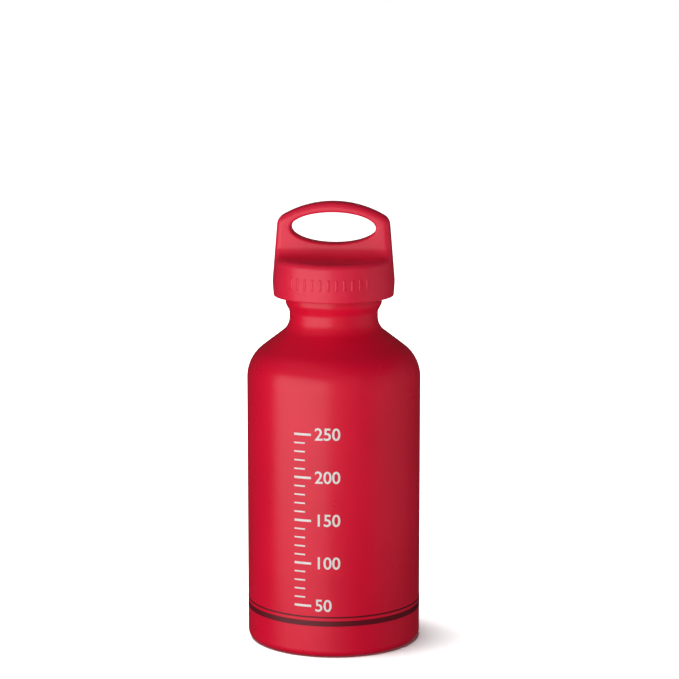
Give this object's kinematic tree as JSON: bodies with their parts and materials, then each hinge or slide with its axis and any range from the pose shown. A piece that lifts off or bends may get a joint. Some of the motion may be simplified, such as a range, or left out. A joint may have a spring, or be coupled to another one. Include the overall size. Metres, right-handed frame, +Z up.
{
  "type": "fuel bottle",
  "caption": "Round aluminium fuel bottle with a sloping shoulder, a waisted neck and a push-and-turn screw stopper topped by a loop handle.",
  "frame": {"origin": "centre of the base, on the surface that the bottle stands on", "axes": "+Z up along the bottle's axis; the loop handle's broad faces look along -Y and +Y, and its eye runs along Y"},
  "size_m": [0.065, 0.065, 0.1655],
  "materials": {
    "red_aluminium": "satin",
    "nitrile_rubber": "matte",
    "black_nylon": "satin",
    "spring_steel": "satin",
    "red_moulding": "satin"
  },
  "bodies": {
    "bottle": {"bottle_shell": "red_aluminium"},
    "seal": {"plug_o_ring": "nitrile_rubber"},
    "plug": {"threaded_plug": "black_nylon"},
    "spring": {"wave_spring": "spring_steel"},
    "cap": {"cap_shell": "red_moulding"}
  },
  "joints": [
    {"name": "seal_rise", "type": "slide", "parent": "bottle", "child": "seal", "axis": [0, 0, 1], "range_m": [0, 0.01351]},
    {"name": "plug_turn", "type": "hinge", "parent": "seal", "child": "plug", "pos_m": [0, 0, 0.134], "axis": [0, 0, 1], "range_deg": [0, 1620]},
    {"name": "cap_spin", "type": "hinge", "parent": "plug", "child": "spring", "pos_m": [0, 0, 0.139], "axis": [0, 0, 1], "continuous": true},
    {"name": "cap_push", "type": "slide", "parent": "spring", "child": "cap", "axis": [0, 0, -1], "range_m": [0, 0.0016], "stiffness_N_per_m": 3000, "springref_m": -0.002, "deforming": ["wave_spring"]}
  ],
  "couplings": [
    {"joint": "seal_rise", "follows": "plug_turn", "m_per_rad": 0.00047746}
  ]
}
